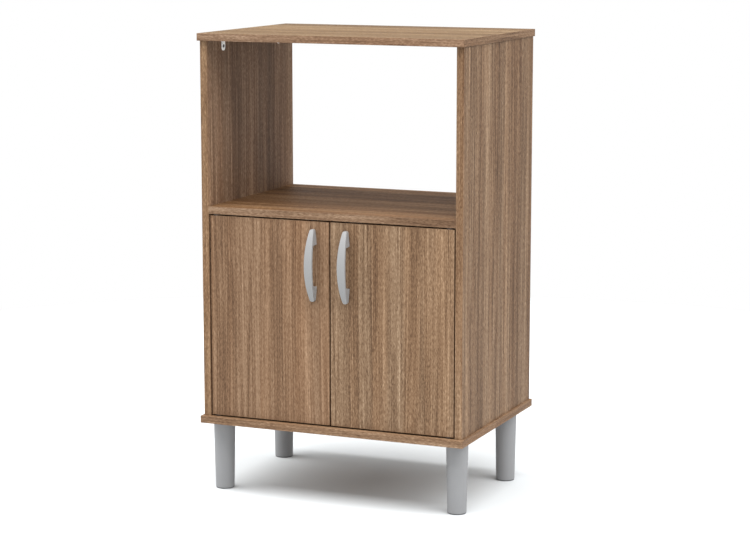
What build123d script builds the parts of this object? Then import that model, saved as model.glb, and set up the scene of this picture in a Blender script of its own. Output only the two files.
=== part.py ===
from build123d import *
import os
from math import hypot, sqrt

# Microwave cabinet: an open niche over a cupboard with two inset doors, on four tapered legs.
# Sizes are in millimetres. +Z is up and the doors face -Y. The origin is on the floor, in the
# middle of the footprint, with the handles counted in. The base panel is as wide as the cabinet,
# and the top is a little narrower.

os.makedirs("parts", exist_ok=True)

# Carcass boards
cabinet_width = 580.0
cabinet_depth = 420.0
cabinet_height = 950.0
panel_thickness = 15.0
side_inset = 5.0
top_overhang = 2.5
front_inset = 9.0
rear_inset = 4.0
niche_height = 337.0
band_thickness = 0.8
band_radius = 0.4

# Cupboard interior
inner_shelf_height = 204.0
inner_shelf_setback = 20.0
back_thickness = 3.0
back_margin = 2.0

# Doors
door_thickness = 15.0
door_gap = 3.0
door_recess = 2.0

# Door pivots
swing_clearance = 0.8
pivot_plate_thickness = 2.0
pivot_plate_width = 16.0
pivot_plate_tail = 52.0
pivot_screw_places = (18.0, 44.0)
pivot_pin_radius = 2.5
pivot_pin_reach = 11.0
bush_radius = 5.0
bush_length = 13.0
bush_flange_radius = 7.0

# Handles
handle_length = 147.0
handle_standout = 29.0
handle_width = 17.5
handle_end_width = 9.0
handle_end_rise = 8.0
handle_end_roundness = 0.9
handle_grip_thickness = 5.0
handle_opening = 86.0
handle_foot_lean = 1.5
handle_edge_radius = 2.0
handle_corner_radius = 1.0
handle_screw_pitch = 96.0
handle_screw_radius = 2.0
handle_screw_bite = 10.0
handle_screw_head_radius = 4.0
handle_screw_head_height = 2.4
handle_from_edge = 34.5
handle_drop = 15.5

# Legs
leg_height = 146.0
leg_top_radius = 22.5
leg_foot_radius = 19.5
leg_wall = 2.6
leg_top_wall = 5.0
leg_boss_radius = 8.0
leg_boss_length = 34.0
leg_rib_thickness = 2.0
leg_rib_count = 6
leg_from_end = 30.0
leg_from_front = 51.0
leg_from_back = 81.0
glide_thickness = 2.5
glide_step = 0.4
glide_corner_radius = 1.0
glide_spigot_height = 9.0
glide_spigot_wall = 1.6
stud_radius = 4.0
stud_in_leg = 26.0
stud_end_room = 1.0
sleeve_radius = 5.5
sleeve_cover = 2.5

# Angle brackets under the top
bracket_width = 13.0
bracket_leg = 24.0
bracket_thickness = 2.0
bracket_hole_drop = 14.5
bracket_root_radius = 2.0
bracket_from_edge = 73.0
bracket_screw_radius = 2.0
bracket_screw_head_radius = 3.6
bracket_screw_length = 14.0

# Joinery
dowel_radius = 4.0
dowel_length = 30.0
dowel_in_face = 10.0
dowel_from_edge = 35.0
base_screw_radius = 3.5
base_screw_head_radius = 5.0
base_screw_length = 50.0
base_screw_share = 0.25
cam_radius = 7.5
cam_cover = 2.5
cam_backset = 34.0
cam_from_edge = 95.0
cam_slot_width = 7.6
cam_bolt_radius = 2.6
cam_bolt_head_radius = 3.5
cam_bolt_head_length = 2.5
cam_bolt_thread_radius = 3.0
cam_bolt_bite = 10.0
cam_bolt_bore_radius = 4.0
cam_bolt_past_centre = 1.5
shelf_dowel_pitch = 32.0
support_plug_radius = 2.5
support_plug_length = 9.0
support_width = 12.0
support_height = 14.0
support_reach = 9.0
support_wall = 2.4
support_from_edge = 37.0
small_screw_radius = 1.75
small_screw_head_radius = 3.5
small_screw_length = 13.0
nail_radius = 0.6
nail_length = 14.0
nail_head_radius = 2.2
nail_head_height = 0.8
nails_per_side = 4
nails_along_shelf = 3

# Magnetic catches
catch_from_centre = 46.0
catch_body_width = 32.0
catch_depth = 14.0
catch_height = 14.0
catch_ear_width = 10.0
catch_ear_thickness = 3.0
catch_pole_drop = 9.0
catch_magnet_width = 26.0
catch_magnet_height = 5.0
catch_magnet_depth = 9.0
catch_pole_thickness = 1.2
catch_pole_proud = 1.0
catch_screw_radius = 1.5
catch_screw_head_radius = 3.0
strike_width = 34.0
strike_height = 11.0
strike_thickness = 1.2
strike_corner_radius = 2.0

# Clearances
bore_play = 0.05
bore_end_play = 0.5
pin_play = 0.05
pivot_play = 0.1
catch_play = 0.1
shelf_play = 1.0
fit_play = 0.1
screw_way_play = 0.5

# Planes and lengths of the object, worked out from the sizes above
handle_proud = max(handle_standout - door_recess - front_inset, 0)
top_front = (handle_proud - cabinet_depth) / 2
top_back = top_front + cabinet_depth
side_front = top_front + front_inset
side_back = top_back - rear_inset
door_front = side_front + door_recess
door_back = door_front + door_thickness
end_x = cabinet_width / 2
outer_x = end_x - side_inset
top_end_x = outer_x + top_overhang
inner_x = outer_x - panel_thickness
side_mid_x = (outer_x + inner_x) / 2
base_bottom = leg_height
base_top = base_bottom + panel_thickness
top_bottom = cabinet_height - panel_thickness
shelf_top = top_bottom - niche_height
shelf_bottom = shelf_top - panel_thickness
shelf_mid_z = (shelf_top + shelf_bottom) / 2
door_bottom = base_top + door_gap
door_top = shelf_bottom - door_gap
inner_shelf_bottom = base_top + inner_shelf_height
inner_shelf_front = door_back + inner_shelf_setback
free_edge_gap = door_gap - swing_clearance
pivot_inset = ((door_thickness / 2) ** 2 - free_edge_gap**2) / (2 * free_edge_gap)
pivot_x = inner_x - door_gap - pivot_inset
pivot_y = (door_front + door_back) / 2
cam_height = panel_thickness - cam_cover - bore_end_play
sleeve_length = panel_thickness - sleeve_cover - bore_end_play
stud_in_base = sleeve_length - stud_end_room

SIDES = (("left", -1), ("right", 1))
GROW = (Align.CENTER, Align.CENTER, Align.MIN)
up = Vector(0, 0, 1)
forward = Vector(0, -1, 0)
pieces = {}


def add(node, *solids):
    """Puts solids into a node."""
    pieces.setdefault(node, []).extend(solids)


def bore(node, tool):
    """Cuts the tool's shape out of every solid of a node."""
    pieces[node] = [solid - tool for solid in pieces[node]]


def block(low, high):
    """A box between two opposite corners."""
    size = [b - a for a, b in zip(low, high)]
    centre = [(a + b) / 2 for a, b in zip(low, high)]
    return Pos(*centre) * Box(*size)


def mirrored(side, low, high):
    """The same box for the right side, or its mirror image for the left."""
    if side > 0:
        return block(low, high)
    return block((-high[0], low[1], low[2]), (-low[0], high[1], high[2]))


def rod(start, direction, radius, length):
    """A round bar that starts at a point and runs along a direction."""
    return Plane(origin=start, z_dir=direction) * Cylinder(radius, length, align=GROW)


def countersunk(head, direction, radius, head_radius, length):
    """A flat-head screw, from the middle of its head along the way it is driven."""
    taper = head_radius - radius
    shape = Cone(head_radius, radius, taper, align=GROW)
    shape += Pos(0, 0, taper) * Cylinder(radius, length - taper, align=GROW)
    return Plane(origin=head, z_dir=direction) * shape


def countersunk_bore(head, direction, radius, head_radius, length):
    """The hole that such a screw sits in."""
    wide = radius + bore_play
    return countersunk(head, direction, wide, head_radius + bore_play, length + bore_end_play)


def dowel(node, joint, direction, face_board, edge_board):
    """A wooden dowel across a joint, out of one board's edge and into the other board's face."""
    start = Vector(*joint) - direction * (dowel_length - dowel_in_face)
    add(node, rod(start, direction, dowel_radius, dowel_length))
    past = direction * bore_end_play
    tool = rod(start - past, direction, dowel_radius + bore_play, dowel_length + 2 * bore_end_play)
    bore(face_board, tool)
    bore(edge_board, tool)


def on_corner(point, outside, axis, end):
    """Whether an edge's middle lies on the board's outline, on the band's outer face."""
    values = tuple(point)
    near = [min(abs(v - a), abs(v - b)) < band_radius / 2 for v, a, b in zip(values, *outside)]
    face = outside[end > 0][axis]
    return sum(near) == 2 and abs(values[axis] - face) < band_radius / 2


def banded_board(node, band_node, low, high, banded):
    """A board with glued edge bands. The first band named runs full length past the others."""
    low, high = list(low), list(high)
    outside = (tuple(low), tuple(high))
    for axis, end in banded:
        strip_low, strip_high = list(low), list(high)
        if end < 0:
            strip_high[axis] = low[axis] = low[axis] + band_thickness
        else:
            strip_low[axis] = high[axis] = high[axis] - band_thickness
        strip = block(strip_low, strip_high)
        corners = [edge for edge in strip.edges() if on_corner(edge.center(), outside, axis, end)]
        add(band_node, fillet(corners, band_radius))
    add(node, block(low, high))


# Top and base, banded all round
ROUND = ((1, -1), (1, 1), (0, -1), (0, 1))
banded_board(
    "top_panel",
    "top_edge_bands",
    (-top_end_x, top_front, top_bottom),
    (top_end_x, top_back, cabinet_height),
    ROUND,
)
banded_board(
    "base_panel",
    "base_edge_bands",
    (-end_x, top_front, base_bottom),
    (end_x, top_back, base_top),
    ROUND,
)

# Side panels, middle shelf and inner shelf, banded in front only
FRONT = ((1, -1),)
for name, side in SIDES:
    edges = sorted((side * inner_x, side * outer_x))
    banded_board(
        f"{name}_side_panel",
        f"{name}_side_edge_band",
        (edges[0], side_front, base_top),
        (edges[1], side_back, top_bottom),
        FRONT,
    )
banded_board(
    "middle_shelf",
    "middle_shelf_edge_band",
    (-inner_x, side_front, shelf_bottom),
    (inner_x, side_back, shelf_top),
    FRONT,
)
banded_board(
    "inner_shelf",
    "inner_shelf_edge_band",
    (shelf_play - inner_x, inner_shelf_front, inner_shelf_bottom),
    (inner_x - shelf_play, side_back - shelf_play, inner_shelf_bottom + panel_thickness),
    FRONT,
)

# Door panels, banded all round
door_edges = (door_gap / 2, inner_x - door_gap)
DOOR_ROUND = ((2, -1), (2, 1), (0, -1), (0, 1))
for name, side in SIDES:
    edges = sorted((side * door_edges[0], side * door_edges[1]))
    banded_board(
        f"{name}_door_panel",
        f"{name}_door_edge_bands",
        (edges[0], door_front, door_bottom),
        (edges[1], door_back, door_top),
        DOOR_ROUND,
    )

# Hardboard back of the cupboard, on the rear edges of the sides and the middle shelf
back_x = outer_x - back_margin
back_low = base_top + back_margin
back_high = shelf_top - back_margin
add(
    "back_panel",
    block((-back_x, side_back, back_low), (back_x, side_back + back_thickness, back_high)),
)


def nail(x, z, panel):
    """A flat-head nail through the back into the edge of a panel."""
    head = (x, side_back + back_thickness, z)
    shank = rod(head, forward, nail_radius, nail_length)
    add("back_panel_nails", shank + rod(head, -forward, nail_head_radius, nail_head_height))
    tool = rod(head, forward, nail_radius + bore_play, nail_length + bore_end_play)
    bore("back_panel", tool)
    bore(panel, tool)


nail_rise = (shelf_bottom - back_low) / nails_per_side
for name, side in SIDES:
    for step in range(nails_per_side):
        nail(side * side_mid_x, back_low + nail_rise * (step + 0.5), f"{name}_side_panel")
nail_run = 2 * inner_x / nails_along_shelf
for step in range(nails_along_shelf):
    nail(-inner_x + nail_run * (step + 0.5), shelf_mid_z, "middle_shelf")

# Dowels at the ends of the sides
for name, side in SIDES:
    panel = f"{name}_side_panel"
    for y in (side_front + dowel_from_edge, side_back - dowel_from_edge):
        dowel("top_dowels", (side * side_mid_x, y, top_bottom), up, "top_panel", panel)
        dowel("base_dowels", (side * side_mid_x, y, base_top), -up, "base_panel", panel)

# Long screws up through the base into the sides
side_depth = side_back - side_front
for name, side in SIDES:
    for share in (base_screw_share, 1 - base_screw_share):
        head = (side * side_mid_x, side_front + side_depth * share, base_bottom)
        shape = (head, up, base_screw_radius, base_screw_head_radius, base_screw_length)
        add("base_screws", countersunk(*shape))
        for panel in ("base_panel", f"{name}_side_panel"):
            bore(panel, countersunk_bore(*shape))

# Cam locks, bolts and dowels of the middle shelf
for name, side in SIDES:
    outward = Vector(side, 0, 0)
    panel = f"{name}_side_panel"
    for y, turn in ((side_front + cam_from_edge, 1), (side_back - cam_from_edge, -1)):
        wall = (side * inner_x, y, shelf_mid_z)
        reach = cam_backset + cam_bolt_past_centre
        bolt = rod(wall, -outward, cam_bolt_radius, reach)
        bolt += rod(wall, outward, cam_bolt_thread_radius, cam_bolt_bite)
        bolt_end = (side * (inner_x - reach), y, shelf_mid_z)
        bolt += rod(bolt_end, outward, cam_bolt_head_radius, cam_bolt_head_length)
        add("cam_bolts", bolt)
        thread_bore = cam_bolt_thread_radius + bore_play
        bore(panel, rod(wall, outward, thread_bore, cam_bolt_bite + bore_end_play))
        bore("middle_shelf", rod(wall, -outward, cam_bolt_bore_radius, cam_backset))
        mouth = (side * (inner_x - cam_backset), y, shelf_bottom)
        pocket = rod(mouth, up, cam_radius + bore_play, cam_height + bore_end_play)
        bore("middle_shelf", pocket)
        cam = rod(mouth, up, cam_radius, cam_height)
        half_slot = cam_slot_width / 2
        slot = mirrored(
            side,
            (inner_x - reach - fit_play, y - half_slot, shelf_mid_z - half_slot),
            (inner_x - cam_backset + cam_radius, y + half_slot, shelf_mid_z + half_slot),
        )
        add("cam_locks", cam - slot)
        dowel_joint = (side * inner_x, y + turn * shelf_dowel_pitch, shelf_mid_z)
        dowel("middle_shelf_dowels", dowel_joint, outward, panel, "middle_shelf")

# Supports of the inner shelf: a plug in the side, a wall and a pad with a rib under it
for name, side in SIDES:
    outward = Vector(side, 0, 0)
    for y in (inner_shelf_front + support_from_edge, side_back - support_from_edge):
        plug_start = (side * inner_x, y, inner_shelf_bottom - support_height / 2)
        inside_x = inner_x - support_reach
        half = support_width / 2
        body = mirrored(
            side,
            (inner_x - support_wall, y - half, inner_shelf_bottom - support_height),
            (inner_x, y + half, inner_shelf_bottom),
        )
        body += mirrored(
            side,
            (inside_x, y - half, inner_shelf_bottom - support_wall),
            (inner_x, y + half, inner_shelf_bottom),
        )
        rib = Polyline(
            (side * inner_x, inner_shelf_bottom - support_height),
            (side * inner_x, inner_shelf_bottom),
            (side * inside_x, inner_shelf_bottom),
            (side * inner_x, inner_shelf_bottom - support_height),
        )
        body += Pos(0, y, 0) * extrude(Plane.XZ * make_face(rib), support_wall / 2, both=True)
        body += rod(plug_start, outward, support_plug_radius, support_plug_length)
        add("shelf_supports", body)
        plug_bore = support_plug_radius + bore_play
        tool = rod(plug_start, outward, plug_bore, support_plug_length + bore_end_play)
        bore(f"{name}_side_panel", tool)


def bracket_plate():
    """One leg of an angle bracket, lying on XY: its root along X at y = 0, its round end at +Y."""
    round_end = bracket_leg - bracket_width / 2
    outline = Pos(0, round_end / 2) * Rectangle(bracket_width, round_end)
    outline += Pos(0, round_end) * Circle(bracket_width / 2)
    return extrude(outline, bracket_thickness)


# White plastic angle brackets in the corners under the top
for name, side in SIDES:
    outward = Vector(side, 0, 0)
    for y in (side_front + bracket_from_edge, side_back - bracket_from_edge):
        corner = (side * inner_x, y, top_bottom)
        hanging = Plane(origin=corner, x_dir=(0, side, 0), z_dir=-outward)
        lying = Plane(origin=corner, x_dir=(0, -side, 0), z_dir=-up)
        bracket = hanging * bracket_plate() + lying * bracket_plate()
        root = Vector(side * (inner_x - bracket_thickness), y, top_bottom - bracket_thickness)
        roots = [edge for edge in bracket.edges() if (edge.center() - root).length < fit_play]
        bracket = fillet(roots, bracket_root_radius)
        low_head = (side * (inner_x - bracket_thickness), y, top_bottom - bracket_hole_drop)
        high_head = (side * (inner_x - bracket_hole_drop), y, top_bottom - bracket_thickness)
        sizes = (bracket_screw_radius, bracket_screw_head_radius, bracket_screw_length)
        for head, way, panel in (
            (low_head, outward, f"{name}_side_panel"),
            (high_head, up, "top_panel"),
        ):
            tool = countersunk_bore(head, way, *sizes)
            add("bracket_screws", countersunk(head, way, *sizes))
            bore(panel, tool)
            bracket -= tool
        add("top_brackets", bracket)


def radius_at(z):
    """The leg's outer radius at a height above the floor."""
    share = (z - glide_thickness) / (leg_height - glide_thickness)
    return leg_foot_radius + share * (leg_top_radius - leg_foot_radius)


def leg_solid():
    """A hollow tapered leg, open at the foot, with a ribbed boss for its stud."""
    tall = leg_height - glide_thickness
    shell = Cone(leg_foot_radius, leg_top_radius, tall, align=GROW)
    hollow_tall = tall - leg_top_wall
    hollow_top = radius_at(leg_height - leg_top_wall) - leg_wall
    hollow = Cone(leg_foot_radius - leg_wall, hollow_top, hollow_tall, align=GROW)
    boss_bottom = hollow_tall - leg_boss_length
    core = Pos(0, 0, boss_bottom) * Cylinder(leg_boss_radius, leg_boss_length, align=GROW)
    for step in range(leg_rib_count):
        web = block(
            (0, -leg_rib_thickness / 2, boss_bottom),
            (leg_top_radius, leg_rib_thickness / 2, hollow_tall),
        )
        core += Rot(0, 0, step * 360 / leg_rib_count) * web
    leg = (shell - hollow) + (core & hollow)
    stud_bore = rod((0, 0, tall), -up, stud_radius + bore_play, stud_in_leg + bore_end_play)
    return Pos(0, 0, glide_thickness) * (leg - stud_bore)


def glide_solid():
    """The plug in a leg's foot: a rim that shows and a spigot ring inside the leg."""
    rim = Cylinder(leg_foot_radius - glide_step, glide_thickness, align=GROW)
    rim = fillet(rim.edges().sort_by(Axis.Z)[:1], glide_corner_radius)
    ring_radius = leg_foot_radius - leg_wall - fit_play
    ring = Cylinder(ring_radius, glide_spigot_height, align=GROW)
    ring -= Cylinder(ring_radius - glide_spigot_wall, glide_spigot_height, align=GROW)
    return rim + Pos(0, 0, glide_thickness) * ring


# Legs, each on a threaded stud in a sleeve nut let into the base from below
for depth_name, y in (
    ("front", top_front + leg_from_front),
    ("rear", top_back - leg_from_back),
):
    for name, side in SIDES:
        foot = Pos(side * (end_x - leg_from_end), y, 0)
        top_of_leg = (side * (end_x - leg_from_end), y, base_bottom)
        add(f"{depth_name}_{name}_leg", foot * leg_solid())
        add("leg_glides", foot * glide_solid())
        stud = rod(top_of_leg, up, stud_radius, stud_in_base)
        add("leg_studs", stud + rod(top_of_leg, -up, stud_radius, stud_in_leg))
        sleeve = rod(top_of_leg, up, sleeve_radius, sleeve_length)
        sleeve -= rod(top_of_leg, up, stud_radius + bore_play, sleeve_length)
        add("leg_sleeve_nuts", sleeve)
        seat = rod(top_of_leg, up, sleeve_radius + bore_play, sleeve_length + bore_end_play)
        bore("base_panel", seat)


def pivot_plate(side, face_z, way):
    """A steel strap with a round end over the pivot; its back lies on the board at face_z."""
    outline = Circle(pivot_plate_width / 2)
    outline += Pos(0, pivot_plate_tail / 2) * Rectangle(pivot_plate_width, pivot_plate_tail)
    sheet = extrude(outline, pivot_plate_thickness)
    lift = face_z if way.Z > 0 else face_z - pivot_plate_thickness
    return Pos(side * pivot_x, pivot_y, lift) * sheet


# Door pivots: plates and pins on the cabinet, flanged bushes in the doors
bush_flange = door_gap - pivot_plate_thickness - pivot_play
small_screw = (small_screw_radius, small_screw_head_radius, small_screw_length)
for name, side in SIDES:
    for level, board, face_z, way in (
        ("upper", "middle_shelf", shelf_bottom, -up),
        ("lower", "base_panel", base_top, up),
    ):
        on_board = Vector(side * pivot_x, pivot_y, face_z)
        plate = pivot_plate(side, face_z, way)
        plate -= rod(on_board, way, pivot_pin_radius + bore_play, pivot_plate_thickness)
        for back in pivot_screw_places:
            head = on_board + way * pivot_plate_thickness + Vector(0, back, 0)
            tool = countersunk_bore(head, -way, *small_screw)
            add("pivot_plate_screws", countersunk(head, -way, *small_screw))
            plate -= tool
            bore(board, tool)
        add(f"{name}_{level}_pivot_plate", plate)
        add("pivot_pins", rod(on_board, way, pivot_pin_radius, door_gap + pivot_pin_reach))
        mouth = on_board + way * door_gap
        flange_face = mouth - way * bush_flange
        bush = rod(mouth, way, bush_radius, bush_length)
        bush += rod(mouth, -way, bush_flange_radius, bush_flange)
        pin_way = bush_flange + pivot_pin_reach + bore_end_play
        bush -= rod(flange_face, way, pivot_pin_radius + pin_play, pin_way)
        add(f"{name}_door_bushes", bush)
        seat = rod(mouth, way, bush_radius + bore_play, bush_length + bore_end_play)
        bore(f"{name}_door_panel", seat)
        bore(f"{name}_door_edge_bands", seat)

# Magnetic catches under the middle shelf, and the strike plates on the doors
pole_front = door_back + strike_thickness + catch_play
catch_front = pole_front + catch_pole_proud
pole_z = shelf_bottom - catch_pole_drop
for name, side in SIDES:
    x = side * catch_from_centre
    half = catch_body_width / 2
    housing = block(
        (x - half, catch_front, shelf_bottom - catch_height),
        (x + half, catch_front + catch_depth, shelf_bottom),
    )
    housing = fillet(housing.edges().filter_by(Axis.Y).sort_by(Axis.Z)[:2], strike_corner_radius)
    ear = half + catch_ear_width
    housing += block(
        (x - ear, catch_front, shelf_bottom - catch_ear_thickness),
        (x + ear, catch_front + catch_depth, shelf_bottom),
    )
    low_x = x - catch_magnet_width / 2
    high_x = x + catch_magnet_width / 2
    half_magnet = catch_magnet_height / 2
    half_stack = half_magnet + catch_pole_thickness
    magnet_back = catch_front + catch_magnet_depth
    housing -= block(
        (low_x - fit_play, catch_front, pole_z - half_stack - fit_play),
        (high_x + fit_play, magnet_back + fit_play, pole_z + half_stack + fit_play),
    )
    magnet_low = (low_x, catch_front, pole_z - half_magnet)
    magnet_high = (high_x, magnet_back, pole_z + half_magnet)
    add("catch_magnets", block(magnet_low, magnet_high))
    for pole_bottom in (pole_z - half_stack, pole_z + half_magnet):
        pole_low = (low_x, pole_front, pole_bottom)
        pole_high = (high_x, magnet_back, pole_bottom + catch_pole_thickness)
        add("catch_pole_plates", block(pole_low, pole_high))
    catch_screw = (catch_screw_radius, catch_screw_head_radius, small_screw_length)
    for end in (-1, 1):
        head_x = x + end * (half + catch_ear_width / 2)
        head = (head_x, catch_front + catch_depth / 2, shelf_bottom - catch_ear_thickness)
        tool = countersunk_bore(head, up, *catch_screw)
        add("catch_screws", countersunk(head, up, *catch_screw))
        housing -= tool
        bore("middle_shelf", tool)
    add(f"{name}_catch_housing", housing)
    strike = block(
        (x - strike_width / 2, door_back, pole_z - strike_height / 2),
        (x + strike_width / 2, door_back + strike_thickness, pole_z + strike_height / 2),
    )
    strike = fillet(strike.edges().filter_by(Axis.Y), strike_corner_radius)
    head = (x, door_back + strike_thickness, pole_z)
    add(f"{name}_strike_screw", countersunk(head, forward, *catch_screw))
    tool = countersunk_bore(head, forward, *catch_screw)
    bore(f"{name}_door_panel", tool)
    add(f"{name}_strike_plate", strike - tool)


def handle_solid():
    """A bow handle, outward along +Z of its own plane, its length along Y and its width along X."""
    half = handle_length / 2
    side_half = handle_width / 2
    end_half = handle_end_width / 2
    outline = make_face(
        ThreePointArc((end_half, -half), (side_half, 0), (end_half, half))
        + Line((end_half, half), (-end_half, half))
        + ThreePointArc((-end_half, half), (-side_half, 0), (-end_half, -half))
        + Line((-end_half, -half), (end_half, -half))
    )
    outline = fillet(outline.vertices(), end_half * handle_end_roundness)
    front_view = extrude(outline, handle_standout)
    bow = handle_standout - handle_end_rise
    bow_radius = (half**2 + bow**2) / (2 * bow)
    grip_half = handle_opening / 2
    bow_grip_half = grip_half - handle_foot_lean
    bow_centre = handle_standout - bow_radius
    foot_depth = bow_centre + sqrt((bow_radius - handle_grip_thickness) ** 2 - bow_grip_half**2)
    grip_inside = handle_standout - handle_grip_thickness
    profile = (
        ThreePointArc((handle_end_rise, -half), (handle_standout, 0), (handle_end_rise, half))
        + Polyline((handle_end_rise, half), (0, half), (0, grip_half), (foot_depth, bow_grip_half))
        + ThreePointArc((foot_depth, bow_grip_half), (grip_inside, 0), (foot_depth, -bow_grip_half))
        + Polyline((foot_depth, -bow_grip_half), (0, -grip_half), (0, -half), (handle_end_rise, -half))
    )
    face = make_face(profile)
    inner = [v for v in face.vertices() if abs(v.X - foot_depth) < fit_play]
    face = fillet(inner, handle_corner_radius)
    section = Plane(origin=(0, 0, 0), x_dir=(0, 0, 1), z_dir=(-1, 0, 0))
    side_view = extrude(section * face, handle_width, both=True)
    handle = front_view & side_view
    crown = handle.faces().sort_by(Axis.Z)[-1]
    return fillet(crown.edges(), handle_edge_radius)


# Handles and their screws, driven from inside the doors
for name, side in SIDES:
    x = side * (door_gap / 2 + handle_from_edge)
    z = door_top - handle_drop - handle_length / 2
    seat = Plane(origin=(x, door_front, z), x_dir=(1, 0, 0), z_dir=forward)
    handle = seat * handle_solid()
    for end in (-1, 1):
        start = (x, door_back, z + end * handle_screw_pitch / 2)
        reach = door_thickness + handle_screw_bite
        screw = rod(start, forward, handle_screw_radius, reach)
        screw += rod(start, -forward, handle_screw_head_radius, handle_screw_head_height)
        add(f"{name}_handle_screws", screw)
        handle -= rod(start, forward, handle_screw_radius + bore_play, reach + bore_end_play)
        way_through = rod(start, forward, handle_screw_radius + screw_way_play, door_thickness)
        bore(f"{name}_door_panel", way_through)
    add(f"{name}_handle", handle)

for node, solids in pieces.items():
    flat_list = [solid for shape in solids for solid in shape.solids()]
    whole = flat_list[0] if len(flat_list) == 1 else Compound(children=flat_list)
    whole.label = node
    export_step(whole, f"parts/{node}.step")

swing = hypot(pivot_inset, door_thickness / 2)
print(f"{len(pieces)} nodes, pivot {pivot_inset:.2f} in from the door's edge, swing radius {swing:.2f}")
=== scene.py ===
import math

import bpy
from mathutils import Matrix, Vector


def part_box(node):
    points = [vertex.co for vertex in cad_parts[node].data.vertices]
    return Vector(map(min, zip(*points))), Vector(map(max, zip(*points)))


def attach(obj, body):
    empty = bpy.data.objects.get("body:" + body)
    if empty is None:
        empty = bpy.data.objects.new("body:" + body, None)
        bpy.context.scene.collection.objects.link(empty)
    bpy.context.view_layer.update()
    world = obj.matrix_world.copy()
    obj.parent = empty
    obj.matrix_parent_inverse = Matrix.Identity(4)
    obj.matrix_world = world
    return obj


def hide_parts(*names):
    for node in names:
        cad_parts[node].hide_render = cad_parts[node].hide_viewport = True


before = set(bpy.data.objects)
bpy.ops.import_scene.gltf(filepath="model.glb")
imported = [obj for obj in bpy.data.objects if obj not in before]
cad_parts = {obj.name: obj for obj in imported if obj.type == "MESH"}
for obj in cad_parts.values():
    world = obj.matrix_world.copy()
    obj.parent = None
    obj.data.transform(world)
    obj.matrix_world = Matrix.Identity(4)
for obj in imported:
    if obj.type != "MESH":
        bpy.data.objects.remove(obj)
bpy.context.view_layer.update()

# Camera: it stands in front of the cabinet and to its right, a little above the top, and looks
# slightly down. Its place and lens come from the vanishing lines of the boards.
camera_place = (1.7863, -4.1629, 1.1954)
camera_pitch = math.radians(-9.478)
camera_yaw = math.radians(23.019)
focal_length_pixels = 2203.9
picture_width_pixels = 750
bpy.ops.object.camera_add(
    location=camera_place,
    rotation=(math.pi / 2 + camera_pitch, 0, camera_yaw),
)
camera = bpy.context.object
camera.name = "camera"
camera.data.lens = focal_length_pixels / picture_width_pixels * camera.data.sensor_width
bpy.context.scene.camera = camera

# Studio light: an even white surround, and one wide soft ceiling lamp that reaches further to the
# front than to the rear. It makes the soft shadow that draws in under the base.
scene = bpy.context.scene
scene.view_settings.view_transform = "Standard"
sky_colour = (1.0, 1.0, 1.0, 1.0)
sky_strength = 1.0
scene.world = bpy.data.worlds.new("studio_white")
scene.world.use_nodes = True
sky = scene.world.node_tree.nodes["Background"]
sky.inputs["Color"].default_value = sky_colour
sky.inputs["Strength"].default_value = sky_strength
lamp_height = 3.4
lamp_reach_sideways = 6.8
lamp_front = -2.6
lamp_rear = 0.9
lamp_power = 660.0
bpy.ops.object.light_add(type="AREA", location=(0.0, (lamp_front + lamp_rear) / 2, lamp_height))
lamp = bpy.context.object
lamp.name = "ceiling_softbox"
lamp.data.shape = "RECTANGLE"
lamp.data.size = 2 * lamp_reach_sideways
lamp.data.size_y = lamp_rear - lamp_front
lamp.data.energy = lamp_power


# Floor: a round sheet of matt white paper, lit brightly enough to run into the white around it.
# It takes the soft shadow of the cabinet.
class Wire:
    """A number on a shader socket. Arithmetic on wires adds their Math nodes."""

    def __init__(self, paint, socket):
        self.paint = paint
        self.socket = socket

    def math(self, operation, *values):
        return self.paint.node(
            "ShaderNodeMath", {"operation": operation}, dict(enumerate(values))
        )

    def __add__(self, other):
        return self.math("ADD", self, other)

    def __sub__(self, other):
        return self.math("SUBTRACT", self, other)

    def __rsub__(self, other):
        return self.math("SUBTRACT", other, self)

    def __mul__(self, other):
        return self.math("MULTIPLY", self, other)

    __radd__ = __add__
    __rmul__ = __mul__

    def above(self, level):
        return self.math("GREATER_THAN", self, level)

    def size(self):
        return self.math("ABSOLUTE", self)

    def between(self, low, high):
        """Spreads 0 to 1 over the range from the low value to the high one."""
        return self * (high - low) + low

    def step(self, low, high):
        """Rises smoothly from 0 at the low value to 1 at the high one."""
        return self.paint.node(
            "ShaderNodeMapRange",
            {"interpolation_type": "SMOOTHSTEP"},
            {"Value": self, "From Min": low, "From Max": high},
        )


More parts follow.
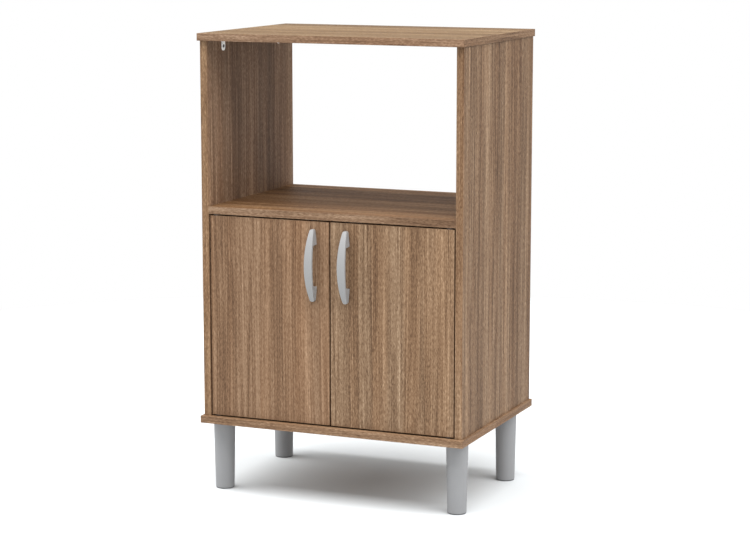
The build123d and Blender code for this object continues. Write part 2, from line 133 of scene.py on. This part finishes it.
class Paint:
    """A material in the making. Every node comes from node()."""

    def __init__(self, name):
        self.material = bpy.data.materials.new(name)
        self.material.use_nodes = True
        self.tree = self.material.node_tree
        self.tree.nodes.clear()

    def node(self, kind, settings=None, inputs=None, output=0):
        """Adds a node: its settings or ramp stops first, then its sockets' values or wires."""
        made = self.tree.nodes.new(kind)
        for name, value in (settings or {}).items():
            if name == "stops":
                stops = made.color_ramp.elements
                while len(stops) < len(value):
                    stops.new(1.0)
                for stop, (place, colour) in zip(stops, value):
                    stop.position = place
                    stop.color = colour
            else:
                setattr(made, name, value)
        for name, value in (inputs or {}).items():
            if isinstance(value, Wire):
                self.tree.links.new(value.socket, made.inputs[name])
            else:
                made.inputs[name].default_value = value
        return Wire(self, made.outputs[output]) if made.outputs else None

    def place(self):
        """Where a point is on the piece, in metres."""
        return self.node("ShaderNodeTexCoord", output="Object")

    def facing(self, axis):
        """How far a face turns towards an axis, from -1 to 1."""
        normal = self.node("ShaderNodeTexCoord", output="Normal")
        return self.node("ShaderNodeSeparateXYZ", {}, {0: normal}, output=axis)

    def noise(self, cells, vector=None, detail=2.0, roughness=0.5, output="Fac"):
        """Noise by its cells to the metre: one number, or one for each axis."""
        if isinstance(cells, float):
            cells = (cells, cells, cells)
        scaled = self.node(
            "ShaderNodeVectorMath",
            {"operation": "MULTIPLY"},
            {0: vector or self.place(), 1: cells},
        )
        return self.node(
            "ShaderNodeTexNoise",
            {"noise_dimensions": "3D"},
            {"Vector": scaled, "Scale": 1.0, "Detail": detail, "Roughness": roughness},
            output,
        )

    def mix(self, share, first, second, blend_type="MIX"):
        """Two colours blended by a share of the second."""
        return self.node(
            "ShaderNodeMix",
            {"data_type": "RGBA", "blend_type": blend_type},
            {0: share, 6: first, 7: second},
            output=2,
        )

    def finish(self, height=None, height_size=0.0, **sockets):
        """Ends the material with its shader, over a bump from a height in metres."""
        inputs = {name.replace("_", " "): value for name, value in sockets.items()}
        if height is not None:
            inputs["Normal"] = self.node(
                "ShaderNodeBump", {}, {"Height": height, "Distance": height_size}
            )
        shader = self.node("ShaderNodeBsdfPrincipled", {}, inputs)
        self.node("ShaderNodeOutputMaterial", {}, {"Surface": shader})
        return self.material


floor_radius = 2.3
paper_dark, paper_light = (0.58, 0.6, 0.61, 1.0), (0.6, 0.62, 0.63, 1.0)
bpy.ops.mesh.primitive_circle_add(vertices=128, radius=floor_radius, fill_type="NGON")
floor = bpy.context.object
floor.name = "studio_floor"
paper = Paint("floor_paper")
paper_fibre = paper.noise(cells=900.0)
floor.data.materials.append(
    paper.finish(
        Base_Color=paper.mix(paper_fibre, paper_dark, paper_light),
        Roughness=1.0,
        Specular_IOR_Level=0.0,
    )
)


# Boards: particleboard faced with a printed walnut melamine, cut to size and drilled. The print is
# straight grained: soft bands, streaks and fine lines that wander a little, with short dark pores
# pressed into it. Sawn edges show the bare chips.
def tone(red, green, blue):
    """A colour as it looks on screen, 0 to 255, as the light that a shader works in."""
    linear = [
        level / 12.92 if level <= 0.04045 else ((level + 0.055) / 1.055) ** 2.4
        for level in (red / 255, green / 255, blue / 255)
    ]
    return (*linear, 1.0)


def coat(material, *names):
    """Gives CAD nodes a material."""
    for name in names:
        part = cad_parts[name]
        part.data.materials.clear()
        part.data.materials.append(material)


walnut_stops = (
    (0.0, tone(70, 49, 35)),
    (0.25, tone(95, 71, 52)),
    (0.5, tone(121, 94, 71)),
    (0.75, tone(148, 121, 96)),
    (1.0, tone(176, 150, 124)),
)
warm_tint = (1.024, 0.994, 0.966)
cool_tint = (0.972, 1.0, 1.03)
chip_stops = (
    (0.0, tone(84, 62, 42)),
    (0.45, tone(140, 114, 84)),
    (1.0, tone(178, 156, 124)),
)
board_length, board_speckle = 1.0, 0.85
press_depth, streak_relief = 0.00012, 0.5
print_roughness = 0.6
pore_roughness, chip_roughness = 0.15, 0.3
# How much of a mirror the print is, by its specular level.
satin, dull = 0.12, 0.04
# How far a face turns towards an axis before it is taken to look that way.
squarely = 0.7


def lay(paint, grain, cut):
    """Turns the print so that its grain, along Z, runs along an axis, and moves it to its cut."""
    turn = {"X": (0.0, math.pi / 2, 0.0), "Y": (math.pi / 2, 0.0, 0.0), "Z": (0.0, 0.0, 0.0)}
    return paint.node(
        "ShaderNodeMapping",
        {},
        {"Vector": paint.place(), "Location": cut, "Rotation": turn[grain]},
    )


def walnut_print(paint, laid, shade, figure, length, speckle):
    """Colour, tone and pores of the print. Figure is its contrast; length stretches streaks."""
    drift_cells, drift_reach = (6.0, 6.0, 1.3), (0.02, 0.02, 0.0)
    drift = paint.noise(drift_cells, laid, detail=1.0, output="Color")
    wander = paint.node(
        "ShaderNodeVectorMath",
        {"operation": "MULTIPLY_ADD"},
        {0: drift, 1: drift_reach, 2: laid},
    )

    def streak(across, along, detail=1.0):
        """Noise about zero, by its cells to the metre across the grain and along it."""
        return paint.noise((across, across, along / length), wander, detail) - 0.5

    bands = streak(across=20.0, along=0.5)
    ribbons = streak(across=46.0, along=0.7, detail=0.0).step(low=-0.04, high=0.04) - 0.5
    streaks = streak(across=110.0, along=2.0, detail=2.0)
    lines = streak(across=320.0, along=3.4)
    flecks = streak(across=700.0, along=150.0 * length)
    veins = 1 - streak(across=13.0, along=0.4, detail=0.0).size().step(low=0.0, high=0.009)
    band_share, ribbon_share, streak_share = 0.5, 0.06, 0.5
    line_share, vein_share, pore_share = 0.75, 0.15, 0.22
    broad = bands * band_share + ribbons * ribbon_share + streaks * streak_share
    fine = lines * line_share + flecks * speckle - veins * vein_share
    mid_tone = 0.5
    level = mid_tone + figure * (broad + fine)
    pore_cells, hue_cells = (1100.0, 1100.0, 140.0), (30.0, 30.0, 0.8 / length)
    pores = paint.noise(pore_cells, laid, detail=0.0).step(low=0.68, high=0.78)
    ramp = paint.node(
        "ShaderNodeValToRGB", {"stops": walnut_stops}, {0: level - pores * pore_share}
    )
    hue = paint.noise(hue_cells, laid).step(low=0.34, high=0.66)
    # The shade scales the print's colour. The boards and bands set it for painted light and shade.
    cool, warm = (
        (*[share * part for share, part in zip(shade, side_tint)], 1.0)
        for side_tint in (cool_tint, warm_tint)
    )
    return paint.mix(1.0, ramp, paint.mix(hue, cool, warm), "MULTIPLY"), level, pores


def chips(paint):
    """Colour of a sawn particleboard edge."""
    chip_cells = 520.0
    chip_share, dust_share = 0.6, 0.4
    flakes = paint.node(
        "ShaderNodeTexVoronoi",
        {"feature": "F1"},
        {"Vector": paint.place(), "Scale": chip_cells},
        output="Color",
    )
    shade = paint.node("ShaderNodeSeparateColor", {}, {0: flakes})
    dust = paint.noise(cells=1900.0)
    mixed = shade * chip_share + dust * dust_share
    return paint.node("ShaderNodeValToRGB", {"stops": chip_stops}, {0: mixed})


boards = {
    # node: its grain and face axes, cut, shade, figure and gloss. The shade is painted light and
    # shade:
    # the same print is made darker or lighter board by board for the light each face gets. It is
    # darkest on the top and the right side.
    "top_panel": ("X", "Z", (0.31, 0.12, 0.07), (0.62, 0.65, 0.59), 1.15, dull),
    "base_panel": ("X", "Z", (1.73, 0.66, 0.41), (0.9, 0.86, 0.8), 1.0, satin),
    "middle_shelf": ("X", "Z", (2.9, 1.31, 0.83), (0.92, 0.83, 0.69), 1.2, dull),
    "inner_shelf": ("X", "Z", (4.1, 2.7, 1.2), (0.92, 0.88, 0.82), 1.0, dull),
    "left_side_panel": ("Z", "X", (5.2, 0.42, 0.3), (0.92, 0.88, 0.87), 1.2, satin),
    "right_side_panel": ("Z", "X", (6.6, 1.87, 0.9), (0.71, 0.7, 0.68), 1.3, satin),
    "left_door_panel": ("Z", "Y", (7.7, 3.3, 1.4), (0.92, 0.89, 0.87), 0.82, satin),
    "right_door_panel": ("Z", "Y", (8.35, 4.2, 0.1), (1.04, 1.08, 1.09), 1.0, satin),
}
for node, (grain, face_axis, cut, shade, figure, gloss) in boards.items():
    board = Paint("walnut_" + node)
    laid = lay(board, grain, cut)
    colour, level, pores = walnut_print(
        board, laid, shade, figure, board_length, board_speckle
    )
    face = board.facing(face_axis).size().above(squarely)
    coat(
        board.finish(
            Base_Color=board.mix(face, chips(board), colour),
            Roughness=(1 - face) * chip_roughness + print_roughness + pores * pore_roughness,
            Specular_IOR_Level=gloss,
            height=level * streak_relief - pores,
            height_size=press_depth,
        ),
        node,
    )

# Edge bands: thin strips of the same print, glued round the boards and trimmed with a small
# radius. Each strip's grain runs along it, and its print is shorter in the grain.
lying, standing = ("X", "Y", "X"), ("Z", "X", "Z")
# The shaded end band is painted shade: a darker copy of the print on the sideways ends of lying
# boards.
plain_band, shaded_end_band = (0.98, 0.97, 0.96), (0.76, 0.73, 0.7)
band_figure, band_length, band_speckle = 0.8, 0.5, 1.1
bands = {
    # node: its grain, the grain and axis of the bands on its ends, cut, shade and end shade. Both
    # shades are painted light and shade, set strip by strip for the light each face gets.
    "top_edge_bands": (lying, (0.9, 5.5, 0.2), (0.94, 0.94, 0.98), shaded_end_band),
    "base_edge_bands": (lying, (2.3, 4.9, 1.2), plain_band, shaded_end_band),
    "middle_shelf_edge_band": (lying, (3.1, 5.2, 0.7), (0.82, 0.84, 0.88), shaded_end_band),
    "inner_shelf_edge_band": (lying, (4.4, 5.8, 1.9), (0.9, 0.89, 0.88), shaded_end_band),
    "left_side_edge_band": (standing, (1.4, 6.1, 0.6), (0.97, 0.94, 0.87), plain_band),
    "right_side_edge_band": (standing, (2.2, 6.6, 1.1), (0.88, 0.87, 0.84), plain_band),
    "left_door_edge_bands": (standing, (3.7, 6.2, 1.7), plain_band, plain_band),
    "right_door_edge_bands": (standing, (4.9, 6.9, 0.3), plain_band, plain_band),
}
for node, ((grain, end_grain, end_axis), cut, shade, end_shade) in bands.items():
    band = Paint("walnut_" + node)
    on_end = band.facing(end_axis).size().above(squarely)
    laid = band.node(
        "ShaderNodeMix",
        {"data_type": "VECTOR"},
        {0: on_end, 4: lay(band, grain, cut), 5: lay(band, end_grain, cut)},
        output=1,
    )
    colour, level, pores = walnut_print(
        band, laid, shade, band_figure, band_length, band_speckle
    )
    # The ends take their end shade over the strip's own shade, which is painted shade.
    end_change = (*[there / here for there, here in zip(end_shade, shade)], 1.0)
    end_colour = band.mix(1.0, colour, end_change, "MULTIPLY")
    coat(
        band.finish(
            Base_Color=band.mix(on_end, colour, end_colour),
            Roughness=print_roughness + pores * pore_roughness,
            Specular_IOR_Level=satin,
            height=level * streak_relief - pores,
            height_size=press_depth,
        ),
        node,
    )

# Back: a thin hardboard sheet, printed walnut inside and bare brown fibre behind. It reaches down
# to the base and is nailed to the rear edges of the side panels and of the middle shelf.
base_gap, edge_wear = 0.0001, 0.0005
nail_hole_radius, nail_hole_depth = 0.0007, 0.01
nails_in_side, shelf_nail_row = 4, (-0.18, 0.0, 0.18)
hardboard_cut, hardboard_shade = (9.1, 0.2, 1.9), (0.95, 0.95, 0.95)
hardboard_figure, hardboard_length, hardboard_speckle = 1.0, 1.0, 0.6
fibre_stops = ((0.3, tone(62, 42, 28)), (0.5, tone(98, 70, 47)), (0.7, tone(134, 102, 72)))
fibre_share, stain_share = 0.7, 0.3
fibre_depth, bare_roughness = 0.0001, 0.2


def middle(node):
    """The middle of a CAD node's box."""
    low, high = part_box(node)
    return (low + high) / 2


def select_only(*pieces):
    """Selects these objects alone, with the first as the active one."""
    bpy.ops.object.select_all(action="DESELECT")
    for piece in pieces:
        piece.select_set(True)
    bpy.context.view_layer.objects.active = pieces[0]


def cut_out(piece, cutter):
    """Cuts one object out of another, and takes the cutter away."""
    select_only(piece)
    cut = piece.modifiers.new("cut", "BOOLEAN")
    cut.operation = "DIFFERENCE"
    cut.solver = "EXACT"
    cut.object = cutter
    bpy.ops.object.modifier_apply(modifier="cut")
    bpy.data.objects.remove(cutter)


sheet_low, sheet_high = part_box("back_panel")
nail_pitch = (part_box("middle_shelf")[0].z - sheet_low.z) / nails_in_side
nail_heights = [sheet_low.z + (step + 0.5) * nail_pitch for step in range(nails_in_side)]
nail_places = [
    (middle(side + "_side_panel").x, z) for side in ("left", "right") for z in nail_heights
]
nail_places += [(x, middle("middle_shelf").z) for x in shelf_nail_row]
sheet_low.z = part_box("base_panel")[1].z + base_gap
bpy.ops.mesh.primitive_cube_add(size=1, location=(sheet_low + sheet_high) / 2)
sheet = bpy.context.object
sheet.name = "hardboard_sheet"
sheet.scale = sheet_high - sheet_low
bpy.ops.object.transform_apply(location=True, rotation=True, scale=True)
wear = sheet.modifiers.new("wear", "BEVEL")
wear.width = edge_wear
wear.segments = 2
bpy.ops.object.modifier_apply(modifier="wear")
for x, z in nail_places:
    bpy.ops.mesh.primitive_cylinder_add(
        vertices=16,
        radius=nail_hole_radius,
        depth=nail_hole_depth,
        location=(x, sheet_high.y, z),
        rotation=(math.pi / 2, 0, 0),
    )
    cut_out(sheet, bpy.context.object)
hardboard = Paint("printed_hardboard")
laid = lay(hardboard, "Z", hardboard_cut)
inner_colour = walnut_print(
    hardboard, laid, hardboard_shade, hardboard_figure, hardboard_length, hardboard_speckle
)[0]
fibre = hardboard.noise(cells=420.0, detail=5.0, roughness=0.7)
stains = hardboard.noise(cells=(9.0, 9.0, 14.0), detail=4.0)
fibre_colour = hardboard.node(
    "ShaderNodeValToRGB",
    {"stops": fibre_stops},
    {0: fibre * fibre_share + stains * stain_share},
)
inside = (hardboard.facing("Y") * -1).above(squarely)
sheet.data.materials.append(
    hardboard.finish(
        Base_Color=hardboard.mix(inside, fibre_colour, inner_colour),
        Roughness=(1 - inside) * bare_roughness + print_roughness,
        Specular_IOR_Level=satin,
        height=fibre,
        height_size=fibre_depth,
    )
)
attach(sheet, "cabinet")
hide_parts("back_panel")

# Legs: hollow tapered legs, moulded in mid-grey plastic with a fine spark-eroded grain, each with
# a darker glide plugged into its foot. The door bushes are moulded in the glides' plastic.
leg_grey, light_leg_grey = tone(129, 129, 130), tone(136, 136, 137)
leg_grain_depth = 0.00008
leg_plastic = Paint("leg_plastic")
leg_grain = leg_plastic.noise(cells=2400.0, detail=3.0)
leg_cloud = leg_plastic.noise(cells=(30.0, 30.0, 12.0))
coat(
    leg_plastic.finish(
        Base_Color=leg_plastic.mix(leg_cloud, leg_grey, light_leg_grey),
        Roughness=leg_grain.between(low=0.5, high=0.7),
        Specular_IOR_Level=0.3,
        height=leg_grain,
        height_size=leg_grain_depth,
    ),
    "front_left_leg",
    "front_right_leg",
    "rear_left_leg",
    "rear_right_leg",
)
glide_grey, light_glide_grey = tone(78, 78, 80), tone(92, 92, 94)
glide_grain_depth = 0.0001
glide_plastic = Paint("glide_plastic")
glide_grain = glide_plastic.noise(cells=1600.0)
coat(
    glide_plastic.finish(
        Base_Color=glide_plastic.mix(glide_grain, glide_grey, light_glide_grey),
        Roughness=0.55,
        height=glide_grain,
        height_size=glide_grain_depth,
    ),
    "leg_glides",
    "left_door_bushes",
    "right_door_bushes",
)

# Handles: moulded bows with a satin silver lacquer that holds a fine flake. Two machine screws
# from behind the door clamp each one.
silver, bright_silver = tone(124, 124, 124), tone(146, 146, 146)
lacquer = Paint("silver_lacquer")
flake = lacquer.noise(cells=5200.0, detail=0.0)
coat(
    lacquer.finish(
        Base_Color=lacquer.mix(flake, silver, bright_silver),
        Roughness=flake.between(low=0.36, high=0.51),
        Specular_IOR_Level=0.45,
    ),
    "left_handle",
    "right_handle",
)

# Brackets, shelf supports and catch housings: injection moulded white nylon with a faint cloud.
# Screws hold the brackets and the housings, and the supports push into holes in the sides.
nylon_white, bright_nylon_white = tone(246, 245, 243), tone(254, 253, 251)
nylon_grain_depth = 0.00004
nylon = Paint("white_nylon")
nylon_cloud = nylon.noise(cells=700.0)
coat(
    nylon.finish(
        Base_Color=nylon.mix(nylon_cloud, nylon_white, bright_nylon_white),
        Roughness=0.42,
        height=nylon_cloud,
        height_size=nylon_grain_depth,
    ),
    "top_brackets",
    "shelf_supports",
    "left_catch_housing",
    "right_catch_housing",
)

# Nails, cams, studs and plates: small pressed and turned steel fittings with a bright zinc plate.
# They are driven, turned or screwed into the boards.
zinc_grey, light_zinc_grey = tone(150, 153, 158), tone(186, 187, 184)
zinc = Paint("bright_zinc")
zinc_cloud = zinc.noise(cells=260.0, detail=4.0)
bright_zinc = zinc.finish(
    Base_Color=zinc.mix(zinc_cloud, zinc_grey, light_zinc_grey),
    Metallic=1.0,
    Roughness=zinc_cloud.between(low=0.26, high=0.46),
)
coat(
    bright_zinc,
    "back_panel_nails",
    "left_strike_plate",
    "right_strike_plate",
    "cam_bolts",
    "cam_locks",
    "leg_studs",
    "leg_sleeve_nuts",
    "catch_pole_plates",
)

# Door pivots: pressed steel straps with riveted pins, in a dark bronze finish. They are screwed
# under the middle shelf and on the base, and the bushes in the doors turn on their pins.
bronze_brown, light_bronze_brown = tone(46, 38, 33), tone(74, 62, 54)
bronze = Paint("dark_bronze")
bronze_cloud = bronze.noise(cells=420.0, detail=4.0)
dark_bronze = bronze.finish(
    Base_Color=bronze.mix(bronze_cloud, bronze_brown, light_bronze_brown),
    Metallic=0.7,
    Roughness=bronze_cloud.between(low=0.38, high=0.58),
)
coat(
    dark_bronze,
    "left_upper_pivot_plate",
    "left_lower_pivot_plate",
    "right_upper_pivot_plate",
    "right_lower_pivot_plate",
    "pivot_pins",
)


# Bracket screws: steel wood screws in black zinc, with a flat head, a cross recess, a rolled
# thread and a point. Each bracket takes one into its side panel and one up into the top.
def cut_cross(screw, width, slot_width, depth):
    """Sinks a cross in the face at the origin."""
    for turn in (0, math.pi / 2):
        bpy.ops.mesh.primitive_cube_add(size=1, rotation=(0, 0, turn))
        bpy.context.object.scale = (width, slot_width, 2 * depth)
        cut_out(screw, bpy.context.object)


def cut_hexagon(screw, radius, depth):
    """Sinks a hexagon in the face at the origin."""
    bpy.ops.mesh.primitive_cylinder_add(vertices=6, radius=radius, depth=2 * depth)
    cut_out(screw, bpy.context.object)


def draw_out(head_radius, head_height, steps):
    """A round head, its face at the origin, drawn out below it in steps of length and radius."""
    bpy.ops.mesh.primitive_cylinder_add(
        vertices=32, radius=head_radius, depth=head_height, location=(0, 0, -head_height / 2)
    )
    bpy.ops.object.transform_apply(location=True, rotation=True, scale=True)
    screw = bpy.context.object
    bpy.ops.object.mode_set(mode="EDIT")
    bpy.ops.mesh.select_mode(type="FACE")
    bpy.ops.mesh.select_all(action="DESELECT")
    bpy.ops.object.mode_set(mode="OBJECT")
    for face in screw.data.polygons:
        face.select = face.normal.z < -squarely
    bpy.ops.object.mode_set(mode="EDIT")
    last_radius = head_radius
    for length, radius in steps:
        bpy.ops.mesh.extrude_region_move(TRANSFORM_OT_translate={"value": (0, 0, -length)})
        share = radius / last_radius
        bpy.ops.transform.resize(value=(share, share, 1), center_override=(0, 0, 0))
        last_radius = radius
    bpy.ops.object.mode_set(mode="OBJECT")
    return screw


def roll_thread(screw, radius, core_radius, start, pitch, turns):
    """Winds a closed, pointed ridge round a screw's core and joins it on."""
    steps_in_turn = 20
    sharpest_smooth_edge = math.radians(35)
    bpy.ops.mesh.primitive_circle_add(
        vertices=3,
        radius=radius - core_radius,
        location=(core_radius, 0, start),
        rotation=(math.pi / 2, math.pi / 2, 0),
    )
    ridge = bpy.context.object
    bpy.ops.object.transform_apply(location=True, rotation=True, scale=True)
    winding = ridge.modifiers.new("winding", "SCREW")
    winding.screw_offset = -pitch
    winding.iterations = turns
    winding.steps = steps_in_turn
    winding.render_steps = steps_in_turn
    bpy.ops.object.modifier_apply(modifier="winding")
    select_only(screw, ridge)
    bpy.ops.object.join()
    bpy.ops.object.mode_set(mode="EDIT")
    bpy.ops.mesh.select_all(action="SELECT")
    bpy.ops.mesh.fill_holes(sides=3)
    bpy.ops.mesh.normals_make_consistent(inside=False)
    bpy.ops.object.mode_set(mode="OBJECT")
    bpy.ops.object.shade_smooth_by_angle(angle=sharpest_smooth_edge)


def flat_screw(radius, head_radius, length, socket=False):
    """A screw that points down, with the face of its head at the origin."""
    rim, tip_radius = 0.0003, 0.0001
    core_radius = 0.72 * radius
    head_depth = head_radius - radius
    recess_depth = rim + 0.9 * head_depth
    point_length = 1.6 * radius
    core_length = length - rim - head_depth - point_length
    pitch = 0.8 * radius
    cone_and_core = ((head_depth, radius), (0, core_radius), (core_length, core_radius))
    screw = draw_out(head_radius, rim, (*cone_and_core, (point_length, tip_radius)))
    if socket:
        cut_hexagon(screw, radius=0.45 * head_radius, depth=recess_depth)
    else:
        cross_width, slot_width = 1.2 * head_radius, 0.26 * head_radius
        cut_cross(screw, cross_width, slot_width, recess_depth)
    thread_start = -rim - head_depth - pitch / 2
    turns = int(core_length / pitch) - 1
    roll_thread(screw, radius, core_radius, thread_start, pitch, turns)
    return screw


def stand_for(model, node, body, material, places):
    """Puts a copy of a model screw at each place, and joins them to stand for a CAD node."""
    copies = []
    for place, turn in places:
        copy = model.copy()
        copy.data = model.data.copy()
        scene.collection.objects.link(copy)
        copy.location = place
        copy.rotation_euler = turn
        copies.append(copy)
    select_only(*copies)
    if len(copies) > 1:
        bpy.ops.object.join()
    bpy.ops.object.transform_apply(location=True, rotation=True, scale=True)
    piece = copies[0]
    piece.name = "detailed_" + node
    piece.data.materials.clear()
    piece.data.materials.append(material)
    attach(piece, body)
    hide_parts(node)


zinc_black, light_zinc_black = tone(20, 20, 22), tone(38, 37, 38)
black = Paint("black_zinc")
black_cloud = black.noise(cells=600.0, detail=3.0)
black_zinc = black.finish(
    Base_Color=black.mix(black_cloud, zinc_black, light_zinc_black),
    Metallic=0.5,
    Roughness=black_cloud.between(low=0.45, high=0.65),
)
bracket_wall, bracket_half_width, screw_from_corner = 0.002, 0.0065, 0.0145
bracket_low, bracket_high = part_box("top_brackets")
bracket_rows = (bracket_low.y + bracket_half_width, bracket_high.y - bracket_half_width)
head_down = (math.pi, 0, 0)
model = flat_screw(radius=0.002, head_radius=0.0036, length=0.014)
places = []
for side in (-1, 1):
    head_inwards = (0, -side * math.pi / 2, 0)
    side_head_x = side * (bracket_high.x - bracket_wall)
    top_screw_x = side * (bracket_high.x - screw_from_corner)
    for y in bracket_rows:
        places.append(((side_head_x, y, bracket_high.z - screw_from_corner), head_inwards))
        places.append(((top_screw_x, y, bracket_high.z - bracket_wall), head_down))
stand_for(model, "bracket_screws", "cabinet", black_zinc, places)
bpy.data.objects.remove(model)

# Pivot screws: short steel wood screws in the same dark bronze finish as the straps. Each strap
# takes two, up into the middle shelf or down into the base.
screws_from_strap_end = (0.034, 0.008)
head_up = (0, 0, 0)
model = flat_screw(radius=0.00175, head_radius=0.0035, length=0.013)
places = []
for side in ("left", "right"):
    x = middle(side + "_upper_pivot_plate").x
    strap_low, strap_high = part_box(side + "_upper_pivot_plate")
    lower_strap_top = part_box(side + "_lower_pivot_plate")[1].z
    for from_end in screws_from_strap_end:
        places.append(((x, strap_high.y - from_end, strap_low.z), head_down))
        places.append(((x, strap_high.y - from_end, lower_strap_top), head_up))
stand_for(model, "pivot_plate_screws", "cabinet", dark_bronze, places)
bpy.data.objects.remove(model)

# Catch and strike screws: small steel wood screws with a bright zinc plate. Two hold each catch
# housing by its lugs under the middle shelf, and one holds each strike plate on its door.
lug_thickness, screw_from_lug_end = 0.003, 0.005
head_back = (-math.pi / 2, 0, 0)
model = flat_screw(radius=0.0015, head_radius=0.003, length=0.013)
places = []
for side in ("left", "right"):
    y = middle(side + "_catch_housing").y
    housing_low, housing_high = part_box(side + "_catch_housing")
    for x in (housing_low.x + screw_from_lug_end, housing_high.x - screw_from_lug_end):
        places.append(((x, y, housing_high.z - lug_thickness), head_down))
stand_for(model, "catch_screws", "cabinet", bright_zinc, places)
for side in ("left", "right"):
    plate = middle(side + "_strike_plate")
    plate_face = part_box(side + "_strike_plate")[1].y
    places = [((plate.x, plate_face, plate.z), head_back)]
    stand_for(model, side + "_strike_screw", side + "_door", bright_zinc, places)
bpy.data.objects.remove(model)

# Base screws: long steel screws with a bright zinc plate and a hexagon socket. They are driven up
# through the base into the lower ends of the side panels, at a quarter of their depth from the
# front and from the rear.
base_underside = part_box("base_panel")[0].z
side_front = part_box("left_side_edge_band")[0].y
side_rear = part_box("left_side_panel")[1].y
quarter_depth = (side_rear - side_front) / 4
model = flat_screw(radius=0.0035, head_radius=0.005, length=0.05, socket=True)
places = []
for side in ("left", "right"):
    for y in (side_front + quarter_depth, side_rear - quarter_depth):
        places.append(((middle(side + "_side_panel").x, y, base_underside), head_down))
stand_for(model, "base_screws", "cabinet", bright_zinc, places)
bpy.data.objects.remove(model)

# Handle screws: steel machine screws with a domed head, a cross recess and a fine thread. Each is
# driven from behind the door into one foot of its handle.
head_radius, head_height, dome_drop = 0.004, 0.0024, 0.0011
cross_width, cross_slot, cross_depth = 0.0046, 0.001, 0.0017
shank_radius, core_radius, shank_length = 0.002, 0.00164, 0.025
thread_pitch, thread_turns = 0.0007, 34
screw_spacing = 0.096
model = draw_out(head_radius, head_height, ((0, core_radius), (shank_length, core_radius)))
for face in model.data.polygons:
    face.select = face.normal.z > squarely
bpy.ops.object.mode_set(mode="EDIT")
bpy.ops.mesh.bevel(offset=dome_drop, segments=4, affect="EDGES")
bpy.ops.object.mode_set(mode="OBJECT")
cut_cross(model, cross_width, cross_slot, cross_depth)
thread_start = -head_height - thread_pitch / 2
roll_thread(model, shank_radius, core_radius, thread_start, thread_pitch, thread_turns)
for side in ("left", "right"):
    handle = middle(side + "_handle")
    head_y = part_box(side + "_door_panel")[1].y + head_height
    heights = (handle.z - screw_spacing / 2, handle.z + screw_spacing / 2)
    places = [((handle.x, head_y, z), head_back) for z in heights]
    stand_for(model, side + "_handle_screws", side + "_door", bright_zinc, places)
bpy.data.objects.remove(model)

# Catch magnets: pressed ferrite blocks, dark and slightly rough. Each sits in its catch housing
# between two pole plates.
ferrite_black, light_ferrite_black = tone(40, 40, 42), tone(58, 58, 60)
ferrite = Paint("ferrite")
ferrite_cloud = ferrite.noise(cells=900.0)
coat(
    ferrite.finish(
        Base_Color=ferrite.mix(ferrite_cloud, ferrite_black, light_ferrite_black),
        Roughness=0.6,
    ),
    "catch_magnets",
)

# Dowels: fluted beech pegs, glued across the joints of the sides with the top, the base and the
# middle shelf.
beech_brown, light_beech_brown = tone(178, 138, 96), tone(220, 186, 144)
beech = Paint("beech")
beech_grain = beech.noise(cells=(700.0, 700.0, 40.0), detail=3.0)
coat(
    beech.finish(
        Base_Color=beech.mix(beech_grain, beech_brown, light_beech_brown),
        Roughness=0.7,
    ),
    "top_dowels",
    "base_dowels",
    "middle_shelf_dowels",
)
